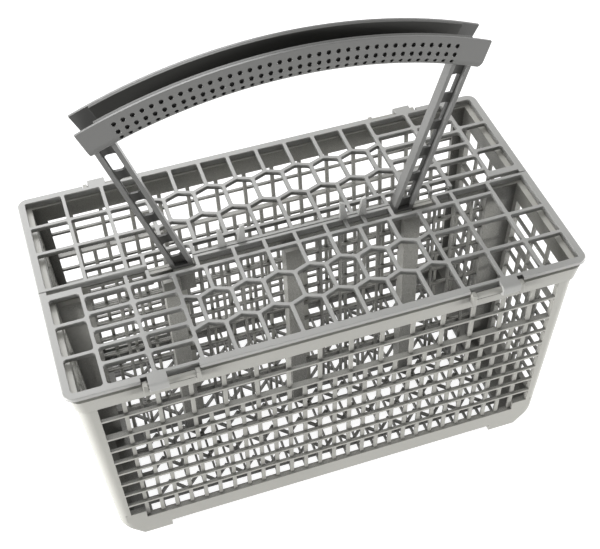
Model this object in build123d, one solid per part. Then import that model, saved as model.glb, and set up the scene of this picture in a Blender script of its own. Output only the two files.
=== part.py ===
from build123d import *
import os
from math import atan2, cos, degrees, radians, sin, sqrt

# Dishwasher cutlery basket in two halves, each with its own lid, and one handle at the seam.
# Sizes are in millimetres. X runs along the basket, Y from front to rear and Z up.
# The front half stands at negative Y. The rear basket and lid are the same, turned half round.

# Basket half: rim and walls
rim_top = 124.2
rim_height = 8.7
rim_flare = 1.2
rim_overhang = 0.8
end_draft = 6.6
side_draft = 6.2
corner_radius = 5.0
seam_gap = 0.3
bar_depth = 1.5
upright_depth = 1.4

# Basket half: lattice of the outer wall and the ends
bar_height = 1.2
bar_pitch = 10.1
first_bar_z = 28.4
tall_rows_height = 24.7
top_bar_drop = 11.6
upright_width = 1.9
upright_pitch = 7.55
panel_width_top = 8.4
panel_width_bottom = 5.6
seam_panel_width = 6.0
row_margin = 0.4

# Basket half: centre wall
centre_layer = 0.9
centre_rail = 2.0
centre_band_low = 22.3
centre_band_high = 29.4
centre_bar_height = 1.2
centre_bar_pitch = 11.7
first_centre_bar_z = 39.1
centre_upright_width = 1.5
centre_upright_pitch = 10.0
centre_upright_shift = 3.0
column_width = 8.0
column_depth = 8.0
column_positions = (-62.0, -2.4, 58.4)
centre_half = 100.0
dip_depth = 5.0

# Basket half: skirt, feet and floor
skirt_top = 14.4
skirt_corner_top = 19.8
skirt_corner_width = 7.5
foot_height = 4.3
foot_length = 14.5
foot_wall = 4.4
chamfer_width = 9.8
chamfer_height = 13.0
floor_bottom = 5.0
floor_layer = 1.5
floor_margin = 2.0
floor_bar_width = 1.4
floor_bar_pitch = 15.4
floor_bar_count = 3
floor_bar_first = 13.9
zigzag_period = 15.1
zigzag_swing = 7.2
zigzag_width = 2.0
zigzag_behind = 5.5
floor_rib_width = 1.0
floor_rib_pitch = 7.55
floor_rib_shift = 1.4

# Hinges
hinge_start = 63.5
hinge_end = 89.0
hinge_out = 0.8
hinge_rise = 0.6
hinge_cut = 2.0
hinge_spare = 0.4
recess_drop = 3.7
pin_radius = 1.5
pin_clearance = 0.05
lug_width = 2.0
lug_skin = 0.2
hook_radius = 3.0
hook_width = 8.5
hook_end_gap = 2.6
hook_mouth = 2.6
hook_mouth_angle = -135.0
hook_round = 1.2

# Lid
lid_length = 244.8
lid_depth = 65.6
lid_end_overhang = 2.0
lid_side_overhang = 0.2
lid_thickness = 3.4
lid_gap = 0.4
lid_seam_gap = 0.6
lid_corner_radius = 5.0
lid_frame_width = 3.6
lid_edge_slope = 1.6
lid_edge_round = 0.6
lid_bar = 1.7
lid_bar_depth = 2.2
cell_round = 1.5
fine_round = 0.8
end_cell_width = 15.8
end_cell_top = -5.0
end_first = 17.4
end_pitch = 19.5
slot_first = 11.1
slot_pitch = 10.2
square_count = 3
square_first = 16.8
square_pitch = 18.7
hex_pitch = 15.25
hex_count = 8
hex_bend = 3.0
hex_first = 15.0
hex_row = 21.5
seam_bar_width = 1.5
short_bar_end = 2.3
notch_depth = 7.6
notch_clearance = 0.6
notch_spare = 4.5
prong_width = 4.2
prong_height = 10.9
prong_shoulder = 10.0
prong_first = 25.5
prong_pitch = 9.0

# Handle
post_reach = 55.0
post_lean = 0.313
post_width = 10.4
post_depth = 5.2
rail = 2.1
post_foot = 1.6
tail_width = 7.0
tail_depth = 4.4
tail_length = 13.0
socket_clearance = 0.1
socket_wall = 1.3
grip_radius = 240.0
grip_top = 235.8
grip_angle = 22.4
grip_wall = 1.2
grip_gap = 14.4
grip_bulge = 1.0
grip_face = 9.5
grip_curve = 5.5
dot_radius = 1.05
dot_count = 37
dot_step = 1.03
dot_drops = (3.9, 7.9)
dot_under_angle = 20.0

# Handle core
core_clearance = 0.05
core_depth = 1.4
liner_thickness = 1.4
liner_angle = 20.2
strip_angle = 22.0
rung_height = 4.4
rung_pitch = 14.6
rung_count = 6
rung_round = 1.8
first_rung_rise = 4.3
spine_width = 0.4
spine_depth = 1.2

wall = bar_depth + upright_depth
centre_wall = 2 * centre_layer
rim_length = lid_length - 2 * lid_end_overhang
rim_depth = lid_depth - lid_side_overhang
rim_bottom = rim_top - rim_height
wall_half_length = rim_length / 2 - rim_flare - rim_overhang
wall_depth = rim_depth - rim_flare - rim_overhang
foot_end = wall_half_length - end_draft - chamfer_width
floor_top = floor_bottom + 2 * floor_layer
seam = seam_gap / 2
lid_bottom = rim_top + lid_gap
lid_top = lid_bottom + lid_thickness
hinge_y = -rim_depth - hinge_out
hinge_z = rim_top + hinge_rise
lid_front = lid_frame_width - lid_bar / 2 - lid_depth
lid_side = lid_length / 2 - lid_frame_width + lid_bar / 2
hex_half = hex_pitch * hex_count / 2
inner_bar_y = -notch_depth - lid_bar / 2
grip_centre = grip_top - grip_radius
grip_axis = Axis((0, 0, grip_centre), (0, 1, 0))
far = 4 * rim_length
spare = 1.0


def half_length_at(z):
    return wall_half_length - end_draft * (1 - z / rim_bottom)


def depth_at(z):
    return wall_depth - side_draft * (1 - z / rim_bottom)


def panel_at(z):
    return panel_width_bottom + (panel_width_top - panel_width_bottom) * z / rim_bottom


def slab(low, high):
    """Wide plate between two heights."""
    return Pos(0, 0, (low + high) / 2) * Box(far, far, high - low)


def block(x, y, z):
    """Box between two values on each axis."""
    size = [abs(b - a) for a, b in (x, y, z)]
    middle = [(a + b) / 2 for a, b in (x, y, z)]
    return Pos(*middle) * Box(*size)


def crossed(front_outline, side_outline):
    """Solid that shows one outline from the front and the other from the side."""
    front = extrude(Plane.XZ * front_outline, far, both=True)
    return front & extrude(Plane.YZ * side_outline, far, both=True)


def flat(points):
    """Flat face inside a closed outline, facing up whichever way round the points run."""
    area = sum(a[0] * b[1] - a[1] * b[0] for a, b in zip(points, points[1:] + points[:1]))
    return Polygon(*(points if area > 0 else points[::-1]), align=None)


def prism(plane, outline, low, high):
    """Straight prism over an outline on a plane, between two distances from it."""
    return extrude(plane.offset(low) * flat(outline), high - low)


def round_outer_corners(part):
    """Round the two upright edges at the front corners."""
    upright = [e for e in part.edges() if abs((e @ 1 - e @ 0).normalized().Z) > 0.9]
    return fillet([e for e in upright if e.center().Y < -rim_depth / 2], corner_radius)


def body_block(inset, low, high):
    """The leaning body between two heights, drawn in from its outer faces by an inset."""
    z = high + rim_top
    bend = half_length_at(chamfer_height)
    right = [(foot_end, 0), (bend, chamfer_height), (half_length_at(z), z)]
    left = [(-x, h) for x, h in reversed(right)]
    front_outline = flat(right + left)
    side_outline = flat([(-seam, 0), (-seam, z), (-depth_at(z), z), (-depth_at(0), 0)])
    if inset:
        front_outline = offset(front_outline, -inset, kind=Kind.INTERSECTION)
        side_outline = offset(side_outline, -inset, kind=Kind.INTERSECTION)
    return crossed(front_outline, side_outline) & slab(low, high)


def rim_block():
    """The band round the top, a little wider at its upper edge."""
    half = rim_length / 2
    right = [(half - rim_flare, rim_bottom), (half, rim_top)]
    front_outline = flat(right + [(-x, z) for x, z in reversed(right)])
    foot = rim_flare - rim_depth
    side_outline = flat([(-seam, rim_top), (-seam, rim_bottom), (foot, rim_bottom), (-rim_depth, rim_top)])
    return round_outer_corners(crossed(front_outline, side_outline))


def level_bars():
    """Heights of the level bars: an even run, then one in the taller rows below the rim."""
    count = round((rim_bottom - tall_rows_height - first_bar_z) / bar_pitch) + 1
    return [first_bar_z + i * bar_pitch for i in range(count)] + [rim_bottom - top_bar_drop]


def rows_between(bars, height, low, high):
    """Open rows above, between and below level bars."""
    starts = [low] + [z + height / 2 for z in bars]
    ends = [z - height / 2 for z in bars] + [high]
    return list(zip(starts, ends))


def row_outline(edges, low, high):
    """One open row whose two ends follow the corner panels."""
    (left_low, right_low), (left_high, right_high) = edges(low), edges(high)
    return [(left_low, low), (right_low, low), (right_high, high), (left_high, high)]


def column_outlines(edges, uprights, low, high):
    """Open columns between uprights, given as pairs of centre and width."""
    (left_low, right_low), (left_high, right_high) = edges(low), edges(high)
    starts = [x + w / 2 for x, w in uprights]
    ends = [x - w / 2 for x, w in uprights]
    spans_low = zip([left_low] + starts, ends + [right_low])
    spans_high = zip([left_high] + starts, ends + [right_high])
    return [
        [(a, low), (b, low), (d, high), (c, high)] for (a, b), (c, d) in zip(spans_low, spans_high)
    ]


def lattice_cuts(plane, edges, fine, wide, low):
    """Cuts that leave level bars in the outer layer and uprights in the inner one."""
    bars = level_bars()
    split = bars[-2]
    high = rim_bottom - row_margin
    rows = rows_between(bars, bar_height, low, high)
    cuts = [prism(plane, row_outline(edges, a, b), -bar_depth, wall) for a, b in rows if b > a]
    below = column_outlines(edges, fine, low, split - bar_height / 2)
    above = column_outlines(edges, wide, split + bar_height / 2, high)
    return cuts + [prism(plane, outline, -2 * wall, -bar_depth) for outline in below + above]


def spread(reach, pitch):
    """Even places either side of the middle that stay within a reach."""
    count = int(reach / pitch)
    return [i * pitch for i in range(-count, count + 1)]


def outer_wall_plane():
    """Plane of the long outer wall's outer face."""
    lean = atan2(side_draft, rim_bottom)
    return Plane((0, -depth_at(0), 0), x_dir=(1, 0, 0), z_dir=(0, -cos(lean), -sin(lean)))


def outer_wall_cuts():
    """Lattice of the long outer wall, with every other upright left out of the tall rows."""
    reach = half_length_at(skirt_top) - panel_at(skirt_top) - upright_pitch

    def edges(z):
        half = half_length_at(z) - panel_at(z)
        return -half, half

    places = spread(reach, upright_pitch)
    middle = len(places) // 2
    fine = [(x, upright_width) for x in places]
    wide = [(x, upright_width) for i, x in enumerate(places) if (i - middle) % 2]
    return lattice_cuts(outer_wall_plane(), edges, fine, wide, skirt_top)


def skirt_corners():
    """The skirt rises a step at both ends of the long outer wall."""
    outer = half_length_at(skirt_top) - panel_at(skirt_top) / 2
    inner = half_length_at(skirt_top) - panel_at(skirt_top) - skirt_corner_width
    low = skirt_top - spare
    outline = [(inner, low), (outer, low), (outer, skirt_corner_top), (inner, skirt_corner_top)]
    mirrored = [(-x, z) for x, z in outline]
    return [prism(outer_wall_plane(), points, -wall, 0) for points in (outline, mirrored)]


def end_wall_cuts():
    """Lattice of both end walls."""
    lean = atan2(end_draft, rim_bottom)
    plane = Plane((half_length_at(0), 0, 0), x_dir=(0, 1, 0), z_dir=(cos(lean), 0, -sin(lean)))

    def edges(z):
        return panel_at(z) - depth_at(z), -seam - seam_panel_width

    low = skirt_corner_top + row_margin
    left, right = edges(low)
    count = int((right - left) / upright_pitch)
    first = right - (right - left - (count - 1) * upright_pitch) / 2
    places = sorted(first - i * upright_pitch for i in range(count))
    inside = [(y, upright_width) for y in places[1:-1]]
    cuts = lattice_cuts(plane, edges, inside, inside[::2], low)
    return cuts + [mirror(cut, Plane.YZ) for cut in cuts]


def centre_wall_cuts():
    """Thin, coarser lattice of the wall at the seam, with a band low down and a rail along its top."""
    plane = Plane((0, -seam, 0), x_dir=(1, 0, 0), z_dir=(0, -1, 0))

    def edges(z):
        return -centre_half, centre_half

    clear = column_width / 2 + 2 * centre_upright_width
    reach = centre_half - centre_upright_pitch
    places = [x + centre_upright_shift for x in spread(reach, centre_upright_pitch)]
    free = [x for x in places if all(abs(x - c) > clear for c in column_positions)]
    uprights = [(x, centre_upright_width) for x in free] + [(c, column_width) for c in column_positions]
    high = rim_top - centre_rail
    count = int((rim_bottom - first_centre_bar_z) / centre_bar_pitch) + 1
    bars = [first_centre_bar_z + i * centre_bar_pitch for i in range(count)]
    rows = [(floor_top, centre_band_low)] + rows_between(bars, centre_bar_height, centre_band_high, high)
    cuts = [prism(plane, row_outline(edges, a, b), -wall, centre_layer) for a, b in rows]
    columns = column_outlines(edges, sorted(uprights), floor_top, high)
    cuts += [prism(plane, outline, centre_layer, centre_wall) for outline in columns]
    thinner_y = (-seam - wall - spare, -seam - centre_wall)
    return cuts + [block((-centre_half, centre_half), thinner_y, (floor_top, rim_top + spare))]


def floor_reach():
    """Half length of the open floor, and its front and rear edges."""
    return foot_end - foot_wall - floor_margin, wall - depth_at(0), -seam - centre_wall


def floor_cuts():
    """The open floor, the pocket under it and the gap between the feet."""
    half, front, rear = floor_reach()
    opening = block((-half, half), (front, rear), (floor_bottom - spare, floor_top + spare))
    pocket_half = foot_end - foot_wall
    pocket = block((-pocket_half, pocket_half), (front, rear), (-spare, floor_bottom))
    foot_inner = foot_end - foot_length
    gap = block((-foot_inner, foot_inner), (-rim_depth, 0), (-spare, foot_height))
    return [opening, pocket, gap]


def zigzag(y):
    """Bent bar along X about a given Y."""
    half = floor_reach()[0] + spare
    count = int(half / (zigzag_period / 2))
    places = [i * zigzag_period / 2 for i in range(-count, count + 1)]
    points = [(x, y + (i % 2 - 0.5) * zigzag_swing) for i, x in enumerate(places)]
    points = [(-half, points[0][1])] + points + [(half, points[-1][1])]
    lower = [(x, y - zigzag_width / 2) for x, y in points]
    upper = [(x, y + zigzag_width / 2) for x, y in reversed(points)]
    return prism(Plane.XY, lower + upper, floor_bottom, floor_bottom + floor_layer)


def floor_bars():
    """Thin ribs across the open floor, lying on straight bars that each have a bent bar behind them."""
    half, front, rear = floor_reach()
    width = floor_rib_width / 2
    y = (front - spare, rear + spare)
    z = (floor_bottom + floor_layer / 2, floor_top)
    places = [x + floor_rib_shift for x in spread(half - floor_rib_shift, floor_rib_pitch)]
    pieces = [block((x - width, x + width), y, z) for x in places]
    z = (floor_bottom, floor_bottom + floor_layer)
    for i in range(floor_bar_count):
        middle = -floor_bar_first - i * floor_bar_pitch
        y = (middle - floor_bar_width / 2, middle + floor_bar_width / 2)
        pieces += [block((-half - spare, half + spare), y, z), zigzag(middle + zigzag_behind)]
    return pieces


def post_x(z):
    """Middle of a handle post at a height."""
    return post_reach + post_lean * (z - rim_top)


def notch_ends():
    """X of a notch's two ends: beside the post at rest, and where the lid's edge passes it on its swing."""
    swing = -lid_seam_gap / 2 - hinge_y
    pass_z = lid_top + sqrt(swing**2 - (hinge_y + post_depth / 2) ** 2)
    inner = post_x(lid_bottom) - post_width / 2 - notch_clearance
    return inner, post_x(pass_z) + post_width / 2 + notch_spare


def post_tail(side, clearance):
    """Tail of one handle post that goes down at the seam, with a clearance all round."""
    half = tail_width / 2 + clearance
    y = tail_depth / 2 + clearance
    x = side * post_reach
    return block((x - half, x + half), (-y, y), (rim_top - tail_length - clearance, rim_top + clearance))


def socket_block(side):
    """Thick stretch of the centre wall that takes half of one tail."""
    skin = socket_clearance + socket_wall
    half = tail_width / 2 + skin
    x = side * post_reach
    low = rim_top - tail_length - skin
    return block((x - half, x + half), (-tail_depth / 2 - skin, -seam), (low, rim_top))


def seam_dip():
    """Low stretch at the left of the centre wall, under the lid's open edge."""
    x = (wall - half_length_at(rim_bottom), -notch_ends()[1])
    return block(x, (-seam - wall - spare, spare), (rim_top - dip_depth, rim_top + spare))


def dip_rail():
    """Rail along the low stretch, and the step up from it."""
    end = -notch_ends()[1]
    y = (-seam - centre_wall, -seam)
    high = rim_top - dip_depth
    rail_z = (high - centre_rail, high)
    step = block((end, end + centre_upright_width), y, (high - centre_rail, rim_top))
    return [block((wall - half_length_at(rim_bottom), end), y, rail_z), step]


def hinge_recess(side):
    """Gap in the rim for the lid's hook, between the two lugs."""
    x = (side * (hinge_start + lug_width), side * (hinge_end - lug_width))
    y = (-rim_depth - wall, hinge_y + hook_radius + hinge_spare)
    return block(x, y, (rim_top - recess_drop, rim_top + spare))


def hinge_pin(side):
    """Pin held in front of the rim by a lug at each end."""
    length = hinge_end - hinge_start - lug_width
    middle = side * (hinge_start + hinge_end) / 2
    pieces = [Pos(middle, hinge_y, hinge_z) * Rot(0, 90, 0) * Cylinder(pin_radius, length)]
    skin = pin_radius + lug_skin
    low = rim_top - recess_drop
    for start in (hinge_start, hinge_end - lug_width):
        x = (side * start, side * (start + lug_width))
        pieces.append(block(x, (hinge_y - skin, hinge_y + hook_radius), (low, rim_top)))
        pieces.append(block(x, (hinge_y - skin, hinge_y + pin_radius), (low, hinge_z + skin)))
    return pieces


def centre_column(x):
    """Solid column at the wall by the seam."""
    y = (-seam - column_depth, -seam - centre_layer / 2)
    return block((x - column_width / 2, x + column_width / 2), y, (floor_bottom, rim_top - centre_rail))


def make_basket():
    """One half of the basket, moulded in one piece."""
    shell = round_outer_corners(body_block(0, 0, rim_bottom)) + rim_block()
    shell -= body_block(wall, floor_top, rim_top + spare)
    shell -= outer_wall_cuts() + end_wall_cuts() + centre_wall_cuts() + floor_cuts()
    columns = [centre_column(x) for x in column_positions]
    shell += skirt_corners() + floor_bars() + columns + [socket_block(-1), socket_block(1)]
    shell -= [post_tail(side, socket_clearance) for side in (-1, 1)]
    shell -= [seam_dip(), hinge_recess(-1), hinge_recess(1)]
    return shell + dip_rail() + hinge_pin(-1) + hinge_pin(1)


def cell(points, radius):
    """Hole of a lid: an outline along the middles of its bars, drawn in by half a bar and rounded."""
    face = offset(flat(points), -lid_bar / 2, kind=Kind.INTERSECTION)
    return fillet(face.vertices(), radius)


def bar_lines(start, first, pitch):
    """Y of the bars along X, from a starting bar to the lid's front edge."""
    count = int((start - lid_front - first) / pitch)
    return [start] + [start - first - i * pitch for i in range(count)] + [lid_front]


def rectangle_cells(columns, rows, radius):
    """Grid of four-cornered holes between bars along X and along Y."""
    cells = []
    for a, b in zip(columns, columns[1:]):
        for c, d in zip(rows, rows[1:]):
            cells.append(cell([(a, c), (b, c), (b, d), (a, d)], radius))
    return cells


def hex_cells():
    """Three rows of holes between two bent bars: the middle row is staggered by half a hole."""
    places = [i * hex_pitch - hex_half for i in range(hex_count + 1)]
    first = inner_bar_y - hex_first
    second = first - hex_row
    first_low = first - hex_bend
    second_high = second + hex_bend
    cells = []
    for a, b in zip(places, places[1:]):
        m = (a + b) / 2
        top = [(a, inner_bar_y), (b, inner_bar_y), (b, first), (m, first_low), (a, first)]
        low = [(a, second), (m, second_high), (b, second), (b, lid_front), (a, lid_front)]
        cells += [cell(top, fine_round), cell(low, fine_round)]
    for x in places[1:-1]:
        a, b = x - hex_pitch / 2, x + hex_pitch / 2
        above = [(a, first_low), (x, first), (b, first_low)]
        below = [(b, second_high), (x, second), (a, second_high)]
        cells.append(cell(above + below, cell_round))
    for side in (-1, 1):
        edge, near = side * hex_half, side * (hex_half - hex_pitch / 2)
        half_cell = [(near, first_low), (edge, first), (edge, second), (near, second_high)]
        cells.append(cell(half_cell, fine_round))
    return cells


def slot_columns():
    """X of the bars either side of the two columns of slots."""
    start = end_cell_width - lid_side
    return [start, (start - hex_half) / 2, -hex_half]


def square_columns():
    """X of the bars either side of the columns of squares."""
    width = (lid_side - hex_half) / square_count
    return [hex_half + i * width for i in range(square_count + 1)]


def lid_cells():
    """Every hole of the lid's grid."""
    slots, squares = slot_columns(), square_columns()
    cells = rectangle_cells([-lid_side, slots[0]], bar_lines(end_cell_top, end_first, end_pitch), cell_round)
    cells += rectangle_cells(slots, bar_lines(inner_bar_y, slot_first, slot_pitch), cell_round)
    rows = bar_lines(inner_bar_y, square_first, square_pitch)
    edge = lid_bar / 2 - lid_seam_gap / 2 - seam_bar_width
    cells += rectangle_cells(squares[:-1], rows, fine_round)
    cells += rectangle_cells(squares[-2:], [edge] + rows[1:], fine_round)
    return cells + hex_cells()


def short_bars():
    """X of the short bars at the seam, from left to right."""
    inner, outer = notch_ends()
    beside = [inner - lid_bar / 2, outer + lid_bar / 2]
    hexes = [i * hex_pitch for i in (-2, -1, 0, 1)]
    prongs = [prong_first, prong_first + prong_pitch]
    ends = slot_columns()[:-1] + square_columns()[1:-1]
    return sorted(ends + hexes + prongs + beside + [-x for x in beside])


def seam_slits():
    """Narrow holes between the lid's two bars at the seam, parted by short bars."""
    notch = notch_ends()[0]
    high = -lid_seam_gap / 2 - seam_bar_width
    y = (inner_bar_y + lid_bar / 2, high)
    z = (lid_bottom - spare, lid_top + spare)
    bars = short_bars()
    spans = [(a, b) for a, b in zip(bars, bars[1:]) if not (a < -notch < b or a < notch < b)]
    return [block((a + lid_bar / 2, b - lid_bar / 2), y, z) for a, b in spans]


def open_edge():
    """Stretch at the left of the seam that has no edge bar, so the short bars end free."""
    x = (lid_frame_width - lid_length / 2, -notch_ends()[1])
    return block(x, (-short_bar_end, spare), (lid_bottom - spare, lid_top + spare))


def bar_underside():
    """Space under the grid: its bars are shallower than the frame and the edge bar."""
    half = lid_length / 2 - lid_frame_width
    y = (lid_frame_width - lid_depth, -lid_seam_gap / 2 - seam_bar_width)
    return block((-half, half), y, (lid_bottom - spare, lid_top - lid_bar_depth))


def hinge_cutback(side):
    """The frame is narrower at a hinge, to clear the lugs and the pin."""
    x = (side * (hinge_start - hinge_spare), side * (hinge_end + hinge_spare))
    return block(x, (-lid_depth - spare, hinge_cut - lid_depth), (lid_bottom - spare, lid_top + spare))


def lid_notch(side):
    """Rounded notch at the seam that lets the lid swing past a leaning post."""
    inner, outer = notch_ends()
    middle = side * (inner + outer) / 2
    outline = RectangleRounded(outer - inner, 2 * notch_depth, cell_round)
    return extrude(Pos(middle, 0, lid_bottom - spare) * outline, lid_thickness + 2 * spare)


def prong(x, lean):
    """Upright tab whose inner edge slopes, so that a pair leaves a gap like a V."""
    half = prong_width / 2
    base = lid_top - spare
    outline = [(x - lean * half, base), (x + lean * half, base), (x, lid_top + prong_shoulder)]
    outline.append((x - lean * half, lid_top + prong_height))
    near = lid_seam_gap / 2
    return prism(Plane.XZ, outline, near, near + seam_bar_width)


def hook(side):
    """Hook that snaps over the hinge pin: a barrel under a block at the lid's edge."""
    outer = side * (hinge_end - hook_end_gap)
    x = (outer, outer - side * hook_width)
    middle = (x[0] + x[1]) / 2
    turn = Pos(middle, hinge_y, hinge_z) * Rot(0, 90, 0)
    lug = block(x, (hinge_y - hook_radius, lid_frame_width - lid_depth), (hinge_z, lid_top))
    lug = fillet(lug.edges().filter_by(Axis.X).group_by(Axis.Z)[-1].sort_by(Axis.Y)[0], hook_round)
    mouth = Pos(middle, hinge_y, hinge_z) * Rot(hook_mouth_angle, 0, 0) * Pos(0, 0, hook_radius)
    barrel = turn * Cylinder(hook_radius, hook_width) + lug
    barrel -= turn * Cylinder(pin_radius + pin_clearance, 2 * hook_width)
    return barrel - mouth * Box(2 * hook_width, hook_mouth, 2 * hook_radius)


def outer_edges(plate, level):
    """Edges of a plate's lowest or highest flat face, without the one at the seam."""
    face = plate.faces().filter_by(Axis.Z).sort_by(Axis.Z)[level]
    return [e for e in face.edges() if e.center().Y < -lid_seam_gap / 2 - spare]


def make_lid():
    """Lid of one half: a frame filled with slots, hexagons and squares."""
    low = -lid_depth
    high = -lid_seam_gap / 2
    sheet = Pos(0, (low + high) / 2) * Rectangle(lid_length, high - low)
    sheet = fillet(sheet.vertices().group_by(Axis.Y)[0], lid_corner_radius)
    plate = extrude(Pos(0, 0, lid_bottom) * sheet, lid_thickness)
    plate = chamfer(outer_edges(plate, 0), lid_edge_slope)
    plate = fillet(outer_edges(plate, -1), lid_edge_round)
    start = Pos(0, 0, lid_bottom - spare)
    holes = [extrude(start * face, lid_thickness + 2 * spare) for face in lid_cells()]
    plate -= holes + seam_slits() + [open_edge(), bar_underside()]
    plate -= [lid_notch(-1), lid_notch(1), hinge_cutback(-1), hinge_cutback(1)]
    tabs = [prong(prong_first, 1), prong(prong_first + prong_pitch, -1)]
    return plate + [hook(-1), hook(1)] + tabs


def grip_line(depth):
    """Half of the grip's section at a depth below its outer face: top, face, under-curve, seam."""
    top_y = grip_gap / 2 - depth
    face_y = top_y + grip_bulge
    face_z = grip_top - grip_face
    radius = grip_curve - depth
    middle_y = face_y - radius
    bend = radius * sqrt(0.5)
    low = face_z - radius
    return [
        (0, -top_y, grip_top),
        (0, -face_y, face_z),
        (0, -middle_y - bend, face_z - bend),
        (0, -middle_y, low),
        (0, 0, low),
    ]


def grip_section(inner, outer):
    """Section of one layer of the grip between two depths, at the middle of the arch."""
    a, b = grip_line(inner), grip_line(outer)
    edges = [Line(a[0], a[1]), ThreePointArc(a[1], a[2], a[3]), Line(a[3], a[4]), Line(a[4], b[4])]
    edges += [Line(b[4], b[3]), ThreePointArc(b[3], b[2], b[1]), Line(b[1], b[0]), Line(b[0], a[0])]
    return make_face(edges)


def grip_hollow(depth):
    """Half of the section of the space inside the grip, from a depth below its outer face."""
    a = grip_line(depth)
    top = (0, 0, grip_top)
    edges = [Line(a[0], a[1]), ThreePointArc(a[1], a[2], a[3]), Line(a[3], a[4])]
    return make_face(edges + [Line(a[4], top), Line(top, a[0])])


def arch(section, angle):
    """Turn a section about the arch's middle, the same angle to both sides."""
    return revolve(section, grip_axis, 2 * angle).rotate(grip_axis, -angle)


def doubled(half):
    """The front half of a part of the handle with its mirror image behind the seam."""
    return half + mirror(half, Plane.XZ)


def dots():
    """Holes through the grip's front wall, in rows that follow the arch."""
    rows = []
    slope = degrees(atan2(grip_bulge, grip_face))
    for drop in dot_drops:
        rows.append((grip_gap / 2 + grip_bulge * drop / grip_face, grip_top - drop, -slope))
    low = radians(dot_under_angle)
    middle = grip_gap / 2 + grip_bulge - grip_curve
    under_z = grip_top - grip_face - grip_curve * sin(low)
    rows.append((middle + grip_curve * cos(low), under_z, dot_under_angle))
    holes = []
    for y, z, tilt in rows:
        aim = (0, -cos(radians(tilt)), -sin(radians(tilt)))
        hole = Plane((0, -y, z), x_dir=(1, 0, 0), z_dir=aim) * Cylinder(dot_radius, 3 * grip_wall)
        for i in range(dot_count):
            holes.append(hole.rotate(grip_axis, (i - (dot_count - 1) / 2) * dot_step))
    return holes


def leaning(side, half_width, depth, low, high):
    """Leaning bar along one handle post, between two heights."""
    a, b = post_x(low), post_x(high)
    right = [(a - half_width, low), (a + half_width, low), (b + half_width, high), (b - half_width, high)]
    return prism(Plane.XZ, [(side * x, z) for x, z in right], -depth / 2, depth / 2)


def post_meets(radius):
    """Height at which the middle of a post reaches a circle round the arch's middle."""
    rise = rim_top - grip_centre
    square = 1 + post_lean**2
    half = post_lean * post_reach + rise
    rest = post_reach**2 + rise**2 - radius**2
    return rim_top + (sqrt(half**2 - square * rest) - half) / square


def make_handle():
    """Grey handle: an arched channel, open at the top, on two pairs of rails with tails for the sockets."""
    shell = doubled(arch(grip_section(grip_wall, 0), grip_angle) - dots())
    hollow = doubled(arch(grip_hollow(grip_wall), grip_angle))
    top = post_meets(grip_radius - grip_face)
    foot = rim_top + post_foot
    inside = post_width / 2 - rail
    for side in (-1, 1):
        post = leaning(side, post_width / 2, post_depth, rim_top, top)
        post -= leaning(side, inside, 2 * post_depth, foot, 2 * top)
        shell -= leaning(side, inside, core_depth + 2 * core_clearance, foot, top)
        shell += [post - hollow, post_tail(side, 0)]
    return shell


def ladder(side):
    """Dark rungs between the rails of one post, tied together by two thin spines."""
    half = post_width / 2 - rail - core_clearance
    low = rim_top + post_foot + core_clearance
    top = post_meets(grip_radius - grip_face)
    rungs = [rim_top + first_rung_rise + i * rung_pitch for i in range(rung_count)]
    spines = leaning(side, half, spine_depth, low, top)
    spines -= leaning(side, half - spine_width, 2 * spine_depth, low, top)
    bars = leaning(side, half, core_depth, low, top)
    for a, b in zip(rungs, rungs[1:]):
        window = leaning(side, half, 2 * core_depth, a + rung_height / 2, b - rung_height / 2)
        bars -= fillet(window.edges().filter_by(Axis.Y), rung_round)
    return bars + spines


def make_core():
    """Dark core of the handle: a liner inside the grip, whose floor runs on to a ladder in each post."""
    depth = grip_wall + core_clearance
    section = grip_section(depth + liner_thickness, depth)
    middle = block((-far, far), (-core_depth / 2, core_depth / 2), (0, far))
    core = doubled(arch(section, liner_angle)) + (doubled(arch(section, strip_angle)) & middle)
    hollow = doubled(arch(grip_hollow(depth + liner_thickness / 2), grip_angle))
    return core + [ladder(side) - hollow for side in (-1, 1)]


def write(name, part):
    """Write one piece to its own file."""
    export_step(part, os.path.join("parts", name + ".step"))
    print(name, "solids", len(part.solids()), "volume", round(part.volume), "mm3")


os.makedirs("parts", exist_ok=True)
half_turn = Rot(0, 0, 180)
for kind, maker in {"basket": make_basket, "lid": make_lid}.items():
    piece = maker()
    write("front_" + kind, piece)
    write("rear_" + kind, half_turn * piece)
write("handle", make_handle())
write("handle_core", make_core())
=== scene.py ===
# %% [markdown]
# A cutlery basket for a dishwasher, dressed for a studio picture.
# Its two halves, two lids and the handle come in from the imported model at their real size, in metres.
# They could be modelled again here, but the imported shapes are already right, so nothing moves or resizes
# them: this lesson gives them their plastics, a floor, some light and a camera.

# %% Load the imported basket
import math

import bpy
from mathutils import Matrix, Vector


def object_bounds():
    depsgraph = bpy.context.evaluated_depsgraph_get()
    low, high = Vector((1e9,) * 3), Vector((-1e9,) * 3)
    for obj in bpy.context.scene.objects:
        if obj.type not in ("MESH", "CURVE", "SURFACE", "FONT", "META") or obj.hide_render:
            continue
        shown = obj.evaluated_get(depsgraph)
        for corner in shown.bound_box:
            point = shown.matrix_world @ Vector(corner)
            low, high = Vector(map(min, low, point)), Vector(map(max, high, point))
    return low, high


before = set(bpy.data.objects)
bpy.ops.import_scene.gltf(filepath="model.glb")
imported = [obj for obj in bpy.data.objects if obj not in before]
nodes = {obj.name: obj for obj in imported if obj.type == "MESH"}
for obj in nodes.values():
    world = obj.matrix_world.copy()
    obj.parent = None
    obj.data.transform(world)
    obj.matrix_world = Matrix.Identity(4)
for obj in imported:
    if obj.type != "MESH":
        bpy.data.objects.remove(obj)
cad_box = [list(corner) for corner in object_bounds()]
low, high = (Vector(corner) for corner in cad_box)
for name in sorted(nodes):
    print(name, len(nodes[name].data.polygons), "triangles")
print("the basket measures", [round(1000 * side, 1) for side in high - low], "mm")

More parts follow.
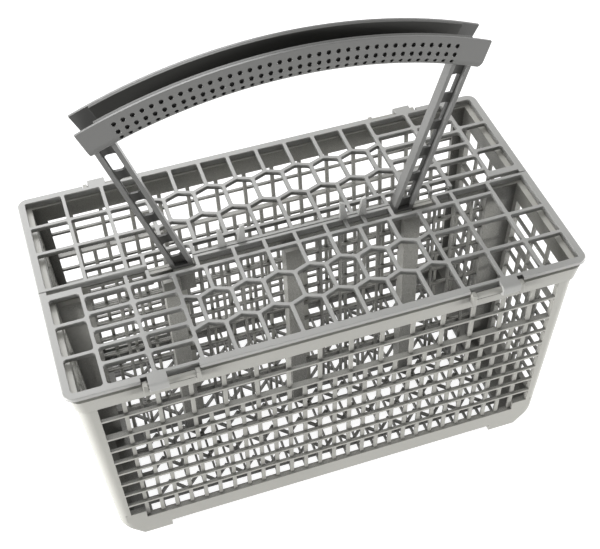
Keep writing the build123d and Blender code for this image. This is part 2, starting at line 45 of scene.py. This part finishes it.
# %% [markdown]
# The camera stands to the left of the front and looks down on the lids.
# Its place could be tried by eye, but a camera worked out from the object's own corners lines up better.
# The turn, tilt and roll below were measured that way, and so was the distance to a point inside the basket.

# %% Camera
IMAGE_WIDTH = 600
FOCAL_PIXELS = 1164.3
SENSOR_WIDTH = 36.0
CLIP_NEAR = 0.01
CLIP_FAR = 50
CAMERA_TURN = math.radians(-16.418)
CAMERA_TILT = math.radians(46.689)
CAMERA_ROLL = math.radians(-2.533)
CAMERA_DISTANCE = 0.58714
CAMERA_TARGET = Vector((0.004107, 0.005223, 0.09))


def photo_camera():
    """Make the camera and aim it at the basket."""
    data = bpy.data.cameras.new("photo_camera")
    data.sensor_fit = "HORIZONTAL"
    data.sensor_width = SENSOR_WIDTH
    data.lens = FOCAL_PIXELS / IMAGE_WIDTH * SENSOR_WIDTH
    data.clip_start = CLIP_NEAR
    data.clip_end = CLIP_FAR
    camera = bpy.data.objects.new("photo_camera", data)
    bpy.context.scene.collection.objects.link(camera)
    level = math.cos(CAMERA_TILT)
    to_right = math.sin(CAMERA_TURN) * level
    to_front = -math.cos(CAMERA_TURN) * level
    back = Vector((to_right, to_front, math.sin(CAMERA_TILT)))
    aim = (-back).to_track_quat("-Z", "Y").to_matrix().to_4x4()
    place = Matrix.Translation(CAMERA_TARGET + back * CAMERA_DISTANCE)
    camera.matrix_world = place @ aim @ Matrix.Rotation(CAMERA_ROLL, 4, "Z")
    bpy.context.scene.camera = camera
    return camera


camera = photo_camera()
print("camera at", [round(1000 * value, 1) for value in camera.location], "mm")
print("lens", round(camera.data.lens, 1), "mm")

# %% [markdown]
# The basket stands on a plain white sweep.
# A lamp strong enough to burn the floor out to white would also bleach the plastic,
# so the floor adds white of its own, for the camera and for reflections only, and keeps the soft shadow.
# Its own colour is a middle grey, so that it throws little light up into the basket
# and the inside stays dark.

# %% Floor and surroundings
FLOOR_HALF = 0.6
FLOOR_COLOUR = (0.4, 0.4, 0.4, 1)
FLOOR_ROUGHNESS = 0.9
FLOOR_SHEEN = 0.1
FLOOR_OWN_WHITE = 0.9
WHITE = (1, 1, 1, 1)


def seen_directly(tree):
    """Light Path factor that is 1 for the camera and for mirror-like rays."""
    path = tree.nodes.new("ShaderNodeLightPath")
    glossy = tree.nodes.new("ShaderNodeMath")
    glossy.operation = "MAXIMUM"
    clear = tree.nodes.new("ShaderNodeMath")
    clear.operation = "MAXIMUM"
    tree.links.new(path.outputs["Is Camera Ray"], glossy.inputs[0])
    tree.links.new(path.outputs["Is Glossy Ray"], glossy.inputs[1])
    tree.links.new(glossy.outputs[0], clear.inputs[0])
    tree.links.new(path.outputs["Is Transmission Ray"], clear.inputs[1])
    return clear.outputs[0]


def white_sweep():
    """Wide floor that stays white round the basket and takes its shadow."""
    mesh = bpy.data.meshes.new("floor")
    half = FLOOR_HALF
    corners = [(-half, -half, 0), (half, -half, 0), (half, half, 0), (-half, half, 0)]
    mesh.from_pydata(corners, [], [(0, 1, 2, 3)])
    floor = bpy.data.objects.new("floor", mesh)
    bpy.context.scene.collection.objects.link(floor)
    material = bpy.data.materials.new("white_sweep")
    material.use_nodes = True
    tree = material.node_tree
    shader = tree.nodes["Principled BSDF"]
    shader.inputs["Base Color"].default_value = FLOOR_COLOUR
    shader.inputs["Roughness"].default_value = FLOOR_ROUGHNESS
    shader.inputs["Specular IOR Level"].default_value = FLOOR_SHEEN
    shader.inputs["Emission Color"].default_value = WHITE
    own = tree.nodes.new("ShaderNodeMath")
    own.operation = "MULTIPLY"
    own.inputs[1].default_value = FLOOR_OWN_WHITE
    tree.links.new(seen_directly(tree), own.inputs[0])
    tree.links.new(own.outputs[0], shader.inputs["Emission Strength"])
    mesh.materials.append(material)


def studio_sky():
    """Surroundings that are plain white where they are seen directly and give no other light."""
    world = bpy.data.worlds.new("studio_sky")
    world.use_nodes = True
    tree = world.node_tree
    background = tree.nodes["Background"]
    background.inputs["Color"].default_value = WHITE
    tree.links.new(seen_directly(tree), background.inputs["Strength"])
    bpy.context.scene.world = world


white_sweep()
studio_sky()
bpy.context.scene.view_settings.view_transform = "Standard"
print("floor", 2 * FLOOR_HALF, "m wide under a white sky")

# %% [markdown]
# Four soft lamps light the basket, as in a product studio.
# One hangs behind and above and a weaker one right above, and they give the lids their tone.
# Two low ones stand far out at the left and the right and graze the front wall:
# its bars catch their light, but little of it gets in between them, so the inside stays dark.
# Even light from all round would be simpler, but it fills the inside and the lattice loses its depth.

# %% Lamps
LAMP_AIM = Vector((0, 0, 0.1))
LAMPS = {
    "rear_lamp": {"place": (-0.2, 1.0, 1.0), "width": 0.8, "height": 0.8, "power": 13},
    "top_lamp": {"place": (0, 0.1, 1.3), "width": 0.9, "height": 0.9, "power": 5},
    "left_lamp": {"place": (-1.2, -0.3, 0.15), "width": 0.5, "height": 0.25, "power": 25},
    "right_lamp": {"place": (1.1, -0.5, 0.13), "width": 0.5, "height": 0.25, "power": 17},
}


def soft_lamp(name, place, width, height, power):
    """Area lamp aimed at the middle of the basket."""
    data = bpy.data.lights.new(name, "AREA")
    data.shape = "RECTANGLE"
    data.size = width
    data.size_y = height
    data.energy = power
    lamp = bpy.data.objects.new(name, data)
    lamp.location = place
    lamp.rotation_mode = "QUATERNION"
    lamp.rotation_quaternion = (LAMP_AIM - Vector(place)).to_track_quat("-Z", "Y")
    bpy.context.scene.collection.objects.link(lamp)


for name, facts in LAMPS.items():
    soft_lamp(name, **facts)
    print(name, facts["power"], "W")

# %% [markdown]
# Every piece is moulded plastic, so one helper makes the plastics,
# and each piece gets its own colour and gloss.
# Real mouldings are never one flat tone: the colour drifts a little where the melt has flowed, and the steel
# mould leaves a fine grain. Noise textures in object coordinates give both, with no image and no unwrapping.
# Real edges are a little rounded too. The Bevel node rounds the shading there, and where its normal leaves
# the face's own normal, the plastic is mixed with a paler tone, a painted highlight along the edges. A Bevel
# modifier would round the mesh itself, but it would also change thousands of bars for a third of a millimetre.
# The inside has to look far darker than the outside, more than a few lamps make it. The Ambient Occlusion
# node finds the hollows from the piece's own shape, and shade is painted into the plastic's colour there, a
# little for every bar and most for the inside. Darker inner faces could be picked by hand instead, but not
# over so many bars.

# %% Helper for moulded plastic
PLASTIC_IOR = 1.49
DRIFT_SCALE = 14.0
DRIFT_DETAIL = 4
DRIFT_SPAN = 0.06
DRIFT_LOW = 0.3
DRIFT_HIGH = 0.7
GLOSS_SPAN = 0.06
GRAIN_SCALE = 2200.0
GRAIN_DISTANCE = 0.00002
EDGE_RADIUS = 0.00035
# Painted highlight on the edges: how far the normal turns, how much of the paler tone, and how much paler.
EDGE_HIGHLIGHT_TURN = 0.9
EDGE_HIGHLIGHT_SHARE = 0.5
EDGE_HIGHLIGHT_LIFT = 1.3
# Painted shade in the hollows: how far to look, how many rays, and the occlusion at which the shade is full.
PAINTED_SHADE_REACH = 0.1
PAINTED_SHADE_SAMPLES = 4
PAINTED_SHADE_DEEP = 0.4


def scaled(colour, share):
    """The same colour, lighter or darker."""
    return (*(min(1.0, share * part) for part in colour), 1)


def drifting_tone(tree, flow, colour):
    """Colour that drifts a little with the flow of the melt."""
    tone = tree.nodes.new("ShaderNodeValToRGB")
    pale, deep = tone.color_ramp.elements[1], tone.color_ramp.elements[0]
    deep.position = DRIFT_LOW
    deep.color = scaled(colour, 1 - DRIFT_SPAN)
    pale.position = DRIFT_HIGH
    pale.color = scaled(colour, 1 + DRIFT_SPAN)
    tree.links.new(flow, tone.inputs["Fac"])
    return tone.outputs["Color"]


def painted_edge_highlight(tree, rounded, tone, colour):
    """Painted edge highlight: paler colour where the rounded normal turns away from the face's normal."""
    face = tree.nodes.new("ShaderNodeNewGeometry")
    turn = tree.nodes.new("ShaderNodeVectorMath")
    turn.operation = "DOT_PRODUCT"
    tree.links.new(rounded, turn.inputs[0])
    tree.links.new(face.outputs["Normal"], turn.inputs[1])
    share = tree.nodes.new("ShaderNodeMapRange")
    share.inputs["From Min"].default_value = 1.0
    share.inputs["From Max"].default_value = EDGE_HIGHLIGHT_TURN
    share.inputs["To Max"].default_value = EDGE_HIGHLIGHT_SHARE
    tree.links.new(turn.outputs["Value"], share.inputs["Value"])
    paler = tree.nodes.new("ShaderNodeMixRGB")
    paler.inputs["Color2"].default_value = scaled(colour, EDGE_HIGHLIGHT_LIFT)
    tree.links.new(share.outputs["Result"], paler.inputs["Fac"])
    tree.links.new(tone, paler.inputs["Color1"])
    return paler.outputs["Color"]


def painted_hollow_shade(tree, colour, painted_shade_tone):
    """Painted shade: darker colour where other faces of the same piece stand close in front of the surface."""
    open_share = tree.nodes.new("ShaderNodeAmbientOcclusion")
    open_share.samples = PAINTED_SHADE_SAMPLES
    open_share.only_local = True
    open_share.inputs["Distance"].default_value = PAINTED_SHADE_REACH
    share = tree.nodes.new("ShaderNodeMapRange")
    share.inputs["From Min"].default_value = PAINTED_SHADE_DEEP
    share.inputs["To Min"].default_value = painted_shade_tone
    tree.links.new(open_share.outputs["AO"], share.inputs["Value"])
    shaded_colour = tree.nodes.new("ShaderNodeVectorMath")
    shaded_colour.operation = "SCALE"
    tree.links.new(colour, shaded_colour.inputs[0])
    tree.links.new(share.outputs["Result"], shaded_colour.inputs["Scale"])
    return shaded_colour.outputs["Vector"]


def uneven_gloss(tree, flow, roughness):
    """Roughness that drifts with the flow of the melt."""
    gloss = tree.nodes.new("ShaderNodeMapRange")
    gloss.inputs["To Min"].default_value = roughness - GLOSS_SPAN
    gloss.inputs["To Max"].default_value = roughness + GLOSS_SPAN
    tree.links.new(flow, gloss.inputs["Value"])
    return gloss.outputs["Result"]


def moulded_grain(tree, place, rounded, grain):
    """Normal with the fine grain of the mould on top of the rounded edges."""
    texture = tree.nodes.new("ShaderNodeTexNoise")
    texture.inputs["Scale"].default_value = GRAIN_SCALE
    tree.links.new(place, texture.inputs["Vector"])
    bump = tree.nodes.new("ShaderNodeBump")
    bump.inputs["Strength"].default_value = grain
    bump.inputs["Distance"].default_value = GRAIN_DISTANCE
    tree.links.new(texture.outputs["Fac"], bump.inputs["Height"])
    tree.links.new(rounded, bump.inputs["Normal"])
    return bump.outputs["Normal"]


def moulded_plastic(name, colour, roughness, grain, painted_shade_tone):
    """Plastic with a drift of colour and gloss, painted edge highlights, painted shade in hollows and a fine
    grain.
    """
    material = bpy.data.materials.new(name)
    material.use_nodes = True
    tree = material.node_tree
    shader = tree.nodes["Principled BSDF"]
    shader.inputs["IOR"].default_value = PLASTIC_IOR
    place = tree.nodes.new("ShaderNodeTexCoord").outputs["Object"]
    noise = tree.nodes.new("ShaderNodeTexNoise")
    noise.inputs["Scale"].default_value = DRIFT_SCALE
    noise.inputs["Detail"].default_value = DRIFT_DETAIL
    tree.links.new(place, noise.inputs["Vector"])
    flow = noise.outputs["Fac"]
    soft = tree.nodes.new("ShaderNodeBevel")
    soft.inputs["Radius"].default_value = EDGE_RADIUS
    rounded = soft.outputs["Normal"]
    tone = drifting_tone(tree, flow, colour)
    # Paler edges: a painted highlight.
    edge_highlit = painted_edge_highlight(tree, rounded, tone, colour)
    # Darker hollows: painted shade.
    tree.links.new(painted_hollow_shade(tree, edge_highlit, painted_shade_tone), shader.inputs["Base Color"])
    tree.links.new(uneven_gloss(tree, flow, roughness), shader.inputs["Roughness"])
    tree.links.new(moulded_grain(tree, place, rounded, grain), shader.inputs["Normal"])
    print("plastic", name, "roughness", roughness)
    return material


def dress(node, material):
    """Give a node of the model its finish."""
    mesh = nodes[node].data
    mesh.materials.clear()
    mesh.materials.append(material)


# %% [markdown]
# The two basket halves are a warm light grey with a satin sheen.
# A darker grey under stronger lamps would look the same in this picture, but it would be wrong under any
# other light, so the colour is set to the tone that the front wall really has.

# %% Basket plastic
# The last number sets how dark the painted shade goes in the hollows; 0.2 darkens the inside of the basket
# most.
basket_plastic = moulded_plastic(
    "basket_plastic", (0.45, 0.445, 0.41), roughness=0.42, grain=0.25, painted_shade_tone=0.2
)
for side in ("front", "rear"):
    dress(side + "_basket", basket_plastic)

# %% [markdown]
# The lids are the same kind of plastic, moulded apart and a shade cooler.
# They could share the basket's material, but with one of their own the seam between lid and rim reads
# as two pieces.

# %% Lid plastic
# The lids get milder painted shade in their cells.
lid_plastic = moulded_plastic(
    "lid_plastic", (0.45, 0.45, 0.435), roughness=0.4, grain=0.25, painted_shade_tone=0.35
)
for side in ("front", "rear"):
    dress(side + "_lid", lid_plastic)

# %% [markdown]
# The handle is a darker grey and a little glossier, because hands polish it, and the liner and the rungs
# inside it are nearly black. Black at zero would swallow every shape, so the liner keeps a few parts
# in a hundred, and it gets no painted shade in its hollows.

# %% Handle plastics
handle_plastic = moulded_plastic(
    "handle_plastic", (0.165, 0.165, 0.16), roughness=0.3, grain=0.3, painted_shade_tone=0.6
)
core_plastic = moulded_plastic(
    "core_plastic", (0.07, 0.07, 0.066), roughness=0.45, grain=0.3, painted_shade_tone=1
)
dress("handle", handle_plastic)
dress("handle_core", core_plastic)
